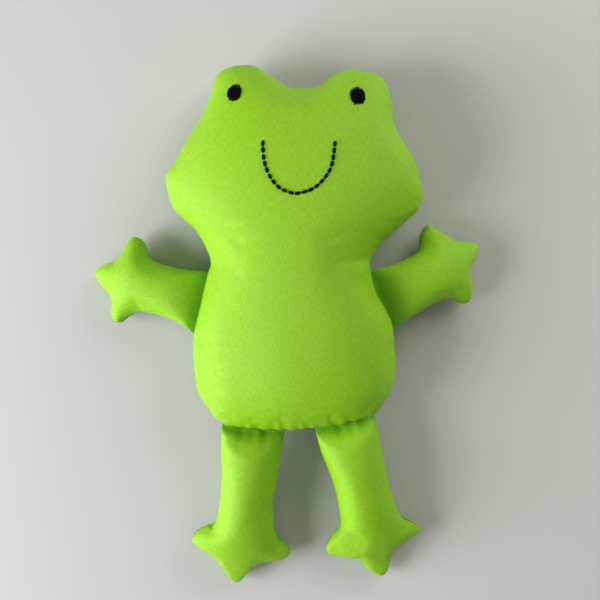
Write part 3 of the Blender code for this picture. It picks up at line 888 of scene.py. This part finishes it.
def cottonMaterial():
    look = cottonLook
    cotton = Shader("greenCotton")
    cloth = cotton.add("ShaderNodeUVMap", {"uv_map": "weave"})
    across = cotton.add("ShaderNodeSeparateXYZ", inputs={0: cloth})
    up = across.output("Y")
    # a plain weave: each thread is round, and goes over and under
    warpTurn = (across * (math.pi / look["warpPitch"])).math("SINE")
    weftTurn = (up * (math.pi / look["weftPitch"])).math("SINE")
    over = (warpTurn * weftTurn * look["crossing"] + 0.5).math("MAXIMUM", 0).math("MINIMUM", 1)
    crowns = warpTurn.math("ABSOLUTE") * over + weftTurn.math("ABSOLUTE") * (1 - over)
    # threads of uneven thickness run a long way
    slubs = []
    for stretch in look["slubStretches"]:
        spot = cotton.add("ShaderNodeVectorMath", {"operation": "MULTIPLY"}, {0: cloth, 1: stretch})
        slubs.append(cotton.noise(spot, 1.0, 2.0) - 0.5)
    (least, gain), (most, loss) = look["warpSlubs"], look["weftSlubs"]
    thread = slubs[0] * (over * gain + least) + slubs[1] * (most - over * loss)
    mottle = cotton.noise(cloth, look["mottleScale"], 3.0) - 0.5
    # the crowns' term is painted shade: lighter on the threads' crowns, darker in the gaps between them
    tone = thread + mottle * look["mottle"] + crowns * look["crowns"] + look["ground"]
    # painted shade: the colour darkens towards a limb's root, standing in for the shade next to the body
    drawnIn = cotton.add("ShaderNodeAttribute", {"attribute_name": "drawnIn"}, output="Fac")
    dyed = cotton.mix(tone, look["deep"], look["pale"])
    dyed = cotton.mix(drawnIn * look["paintedRootShadeShare"], dyed, look["drawnIn"])
    height = crowns * look["crownRelief"] + thread * look["slubRelief"]
    cotton.set(
        Base_Color=dyed, Normal=cotton.bump(height, look["threadHeight"], 1.0),
        Roughness=look["roughness"], Specular_IOR_Level=look["specular"],
        Sheen_Weight=look["sheen"], Sheen_Roughness=look["sheenRoughness"], Sheen_Tint=look["sheenTint"],
    )
    return cotton.material


flossLook = {
    "name": "blackFloss", "dark": (0.0008, 0.0008, 0.0008, 1), "pale": (0.004, 0.004, 0.004, 1),
    "scale": 4200.0, "detail": 3.0, "fibreHeight": 0.00006, "roughness": 0.65, "specular": 0.05,
}
threadLook = {
    "name": "greenThread", "dark": cottonLook["deep"], "pale": cottonLook["pale"],
    "scale": 3500.0, "detail": 2.0, "fibreHeight": 0.00004, "roughness": 0.7, "specular": 0.3,
}


def fibreMaterial(look):
    shader = Shader(look["name"])
    fibres = shader.noise(shader.add("ShaderNodeTexCoord", output="Object"), look["scale"], look["detail"])
    shader.set(
        Base_Color=shader.mix(fibres, look["dark"], look["pale"]),
        Normal=shader.bump(fibres, look["fibreHeight"], 0.8),
        Roughness=look["roughness"], Specular_IOR_Level=look["specular"],
    )
    return shader.material


# Round threads along lists of points, as one closed mesh
def threadMesh(name, paths, radius, material):
    curve = bpy.data.curves.new(name, "CURVE")
    curve.dimensions = "3D"
    curve.bevel_depth = radius
    curve.bevel_resolution = 2
    curve.use_fill_caps = True
    for path in paths:
        spline = curve.splines.new("POLY")
        spline.points.add(len(path) - 1)
        for point, (spot, thickness) in zip(spline.points, path):
            point.co = (*spot, 1)
            point.radius = thickness
    tube = addObject(name, curve)
    bpy.context.view_layer.update()
    mesh = bpy.data.meshes.new_from_object(tube.evaluated_get(bpy.context.evaluated_depsgraph_get()))
    bpy.data.objects.remove(tube)
    bpy.data.curves.remove(curve)
    mesh.name = name
    mesh.materials.clear()
    mesh.materials.append(material)
    mesh.shade_smooth()
    print("stitched", name, "with", len(paths), "strands")
    return addObject(name, mesh)


class ClothSurface:
    def __init__(self, obj):
        self.tree = BVHTree.FromObject(obj, bpy.context.evaluated_depsgraph_get())

    # the front's point and outward direction over a place in millimetres
    def above(self, x, y):
        return self.tree.ray_cast(Vector((x / 1000, y / 1000, 0.2)), Vector((0, 0, -1)))[:2]

    def towards(self, start, heading):
        return self.tree.ray_cast(start, heading)[0]


mouthThread = {
    "seed": 8,
    "stitches": 21,
    "filled": 0.84,  # of each stitch's stretch, the rest is the gap
    "unevenEnds": 0.03,
    "unevenWidth": 0.1,
    "strands": 5,
    "strandRadius": 0.42,
    "thinEnds": 0.55,  # a strand's thickness at its ends, as a share
    "halfWidth": 0.60,
    "endWidth": 0.25,  # a stitch's width at its ends, as a share
    "lift": 0.34,
    "twistLift": 0.22,
    "dip": 0.6,
    "bluntness": 0.4,  # lower for fuller ends
    "twist": 0.55,  # turns in a stitch
    "fineness": 40,  # places along the route for each stitch
    "steps": 12,
    "route": [
        (-17.3, 114.5), (-17.2, 109.0), (-16.2, 101.0), (-12.8, 93.2), (-7.9, 87.6), (-1.2, 84.9),
        (2.5, 84.8), (10.1, 87.2), (15.8, 92.2), (20.1, 98.7), (21.7, 105.6), (22.7, 114.5),
    ],
}


def makeMouth(surface, material):
    settings = mouthThread
    curve = smoothCurve([Vector(p) for p in settings["route"]], False)
    fine = settings["fineness"]
    route = evenPoints(curve, settings["stitches"] * fine)
    draw = random.Random(settings["seed"])
    uneven, wider = settings["unevenEnds"], settings["unevenWidth"]
    thin, narrow = settings["thinEnds"], settings["endWidth"]
    paths = []
    for stitch in range(settings["stitches"]):
        low = fine * (stitch + (1 - settings["filled"]) / 2 + draw.uniform(-uneven, uneven))
        high = fine * (stitch + (1 + settings["filled"]) / 2 + draw.uniform(-uneven, uneven))
        start, stop = (route[min(max(round(k), 0), len(route) - 1)] for k in (low, high))
        along = (stop - start).normalized()
        side = Vector((-along.y, along.x)) * draw.uniform(1 - wider, 1 + wider)
        phase = draw.uniform(0, math.tau)
        for strand in range(settings["strands"]):
            path = []
            for step in range(settings["steps"] + 1):
                t = step / settings["steps"]
                belly = max(math.sin(math.pi * t), 0) ** settings["bluntness"]
                angle = phase + math.tau * (strand / settings["strands"] + settings["twist"] * t)
                sideways = math.cos(angle) * settings["halfWidth"] * (narrow + (1 - narrow) * belly)
                flat = start.lerp(stop, t) + side * sideways
                place, normal = surface.above(flat.x, flat.y)
                upward = belly * (settings["lift"] + math.sin(angle) * settings["twistLift"])
                upward -= settings["dip"] * (1 - belly)
                path.append((place + normal * (upward / 1000), thin + (1 - thin) * belly))
            paths.append(path)
    mouth = threadMesh("mouthStitches", paths, settings["strandRadius"] / 1000, material)
    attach(mouth, "body")
    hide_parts("mouth_thread")


eyes = {
    "eye_right": {
        "name": "eyeRightStitches", "seed": 4,
        "middle": (-33.8, 143.1), "width": 8.0, "length": 10.7, "lean": -16,
    },
    "eye_left": {
        "name": "eyeLeftStitches", "seed": 9,
        "middle": (35.7, 141.1), "width": 8.6, "length": 11.3, "lean": 6,
    },
}
eyeFloss = {
    "layers": [(14, 1.0, 0.35), (12, 0.97, 1.0)],  # strands, and shares of the length and the lift
    "strandRadius": 0.42,
    "thinEnds": 0.6,  # a strand's thickness at its ends, as a share
    "unevenPlace": 0.15,
    "unevenEnds": (0.86, 1.13),
    "tilt": 0.10,
    "roundness": 0.965,  # below 1 the outermost strands keep some length
    "spread": 0.95,
    "lift": 0.75,
    "rimLift": 0.35,  # share of the lift that the outermost strands have
    "crownRoundness": 0.9,
    "dip": 0.45,
    "bluntness": 0.33,  # lower for fuller ends
    "steps": 14,
}


def makeEye(node, surface, material):
    eye = {**eyeFloss, **eyes[node]}
    draw = random.Random(eye["seed"])
    lean = math.radians(eye["lean"])
    along = Vector((-math.sin(lean), math.cos(lean)))
    across = Vector((math.cos(lean), math.sin(lean)))
    uneven, tilted, rim, thin = eye["unevenPlace"], eye["tilt"], eye["rimLift"], eye["thinEnds"]
    paths = []
    for strands, reach, height in eye["layers"]:
        for strand in range(strands):
            off = (strand + 0.5 + draw.uniform(-uneven, uneven)) / strands * 2 - 1
            half = math.sqrt(1 - (off * eye["roundness"]) ** 2) * eye["length"] / 2 * reach
            tilt = draw.uniform(-tilted, tilted)
            first = -half * draw.uniform(*eye["unevenEnds"])
            last = half * draw.uniform(*eye["unevenEnds"])
            crown = math.sqrt(1 - (off * eye["crownRoundness"]) ** 2)
            path = []
            for step in range(eye["steps"] + 1):
                t = step / eye["steps"]
                belly = max(math.sin(math.pi * t), 0) ** eye["bluntness"]
                run = first + (last - first) * t
                sideways = off * eye["width"] / 2 * eye["spread"] + tilt * run
                flat = Vector(eye["middle"]) + along * run + across * sideways
                place, normal = surface.above(flat.x, flat.y)
                upward = eye["lift"] * height * belly * (rim + (1 - rim) * crown) - eye["dip"] * (1 - belly)
                path.append((place + normal * (upward / 1000), thin + (1 - thin) * belly))
            paths.append(path)
    obj = threadMesh(eye["name"], paths, eye["strandRadius"] / 1000, material)
    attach(obj, "body")
    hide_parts(node)


closingThread = {
    "from": (0.391, 0.173),
    "to": (0.386, 0.256),
    "stitches": 11,
    "radius": 0.22,
    "halfSpan": 1.3,  # how far a stitch reaches to each side of the seam
    "slant": 0.45,  # how far it has gone along the seam by then
    "searchFrom": 6.0,  # how far outside the cloth is looked for
    "lift": 0.14,
    "dip": 0.35,  # how deep its ends go in
    "dipFrom": 0.8,  # share of the half span where that starts
    "steps": 8,
    "bent": 2,  # steps at each end that follow the cloth
}


def makeClosing(surface, outline, material):
    settings = closingThread
    first, last = (nearestIndex(outline, bodyPoint(settings[end])) for end in ("from", "to"))
    normals = outwardNormals(outline)
    seamHeight = bodyPillow["seamHeight"]
    bent = settings["bent"]
    paths = []
    for stitch in range(settings["stitches"]):
        at = first + (last - first) * stitch / (settings["stitches"] - 1)
        i = int(at)
        place = outline[i].lerp(outline[i + 1], at - i)
        outward = normals[i].to_3d()
        slide = Vector((-outward.y, outward.x, 0)) * (settings["slant"] / 1000)
        path = []
        for step in range(settings["steps"] + 1):
            t = step / settings["steps"] * 2 - 1
            start = Vector((place.x, place.y, seamHeight - t * settings["halfSpan"])) / 1000
            start += outward * (settings["searchFrom"] / 1000) + slide * t
            hit = surface.towards(start, -outward)
            if hit is None:
                continue
            out = settings["lift"] if abs(t) < settings["dipFrom"] else -settings["dip"]
            path.append((hit + outward * (out / 1000), 1.0))
        # across the groove the thread is drawn straight
        steps = len(path) - 1 - 2 * bent
        if steps > 1:
            low, high = path[bent][0], path[-1 - bent][0]
            for k in range(1, steps):
                path[bent + k] = (low.lerp(high, k / steps), 1.0)
        paths.append(path)
    obj = threadMesh("closingStitches", paths, settings["radius"] / 1000, material)
    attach(obj, "body")
    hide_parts("body_closing_thread")


floorLook = {"colour": (0.500, 0.520, 0.560, 1), "roughness": 0.9, "halfWidth": 30}


def makeStage():
    shader = Shader("paleFloor")
    shader.set(Base_Color=floorLook["colour"], Roughness=floorLook["roughness"])
    mesh = bpy.data.meshes.new("floor")
    bm = bmesh.new()
    bmesh.ops.create_grid(bm, x_segments=1, y_segments=1, size=floorLook["halfWidth"])
    bm.to_mesh(mesh)
    bm.free()
    mesh.materials.append(shader.material)
    floor = addObject("floor", mesh)


studio = {
    "viewMiddle": (0.0032, 0.0262),
    "viewDistance": 0.58,  # from the side seam to the lens
    "viewWidth": 0.350,  # what the frame takes in at the side seam
    "sensor": 36,
    "lightTarget": (0, 0.03, 0.02),
    "keyPlace": (-1.07, -0.29, 0.44),
    "keySize": 0.9,
    "keyColour": (1.0, 0.95, 0.92),
    "keyPower": 28.2,
    "fillPlace": (0.72, 0.72, 0.44),
    "fillSize": 0.9,
    "fillColour": (1.0, 0.96, 0.80),
    "fillPower": 8.8,
    "world": 0.29,
    "worldColour": (1.0, 0.96, 0.76, 1.0),
}


def makeStudio():
    scene = bpy.context.scene
    data = bpy.data.cameras.new("camera")
    data.sensor_width = studio["sensor"]
    data.lens = studio["sensor"] * studio["viewDistance"] / studio["viewWidth"]
    camera = addObject("camera", data)
    camera.location = (*studio["viewMiddle"], bodyPillow["seamHeight"] / 1000 + studio["viewDistance"])
    scene.camera = camera
    for name in ("key", "fill"):
        light = bpy.data.lights.new(name, "AREA")
        light.shape = "DISK"
        light.size = studio[name + "Size"]
        light.energy = studio[name + "Power"]
        light.color = studio[name + "Colour"]
        lamp = addObject(name, light)
        lamp.location = studio[name + "Place"]
        heading = Vector(studio["lightTarget"]) - lamp.location
        lamp.rotation_euler = heading.to_track_quat("-Z", "Y").to_euler()
    world = bpy.data.worlds.new("room")
    world.use_nodes = True
    background = world.node_tree.nodes["Background"].inputs
    background["Color"].default_value = studio["worldColour"]
    background["Strength"].default_value = studio["world"]
    scene.world = world
    scene.view_settings.view_transform = "Standard"
    print("set up the floor, the camera and the lights")


cotton = cottonMaterial()
body, bodyOutline = makeBody(cotton)
for name in limbs:
    makeLimb(name, bodyOutline, cotton)
surface = ClothSurface(body)
floss = fibreMaterial(flossLook)
makeMouth(surface, floss)
for node in eyes:
    makeEye(node, surface, floss)
makeClosing(surface, bodyOutline, fibreMaterial(threadLook))
makeStage()
makeStudio()
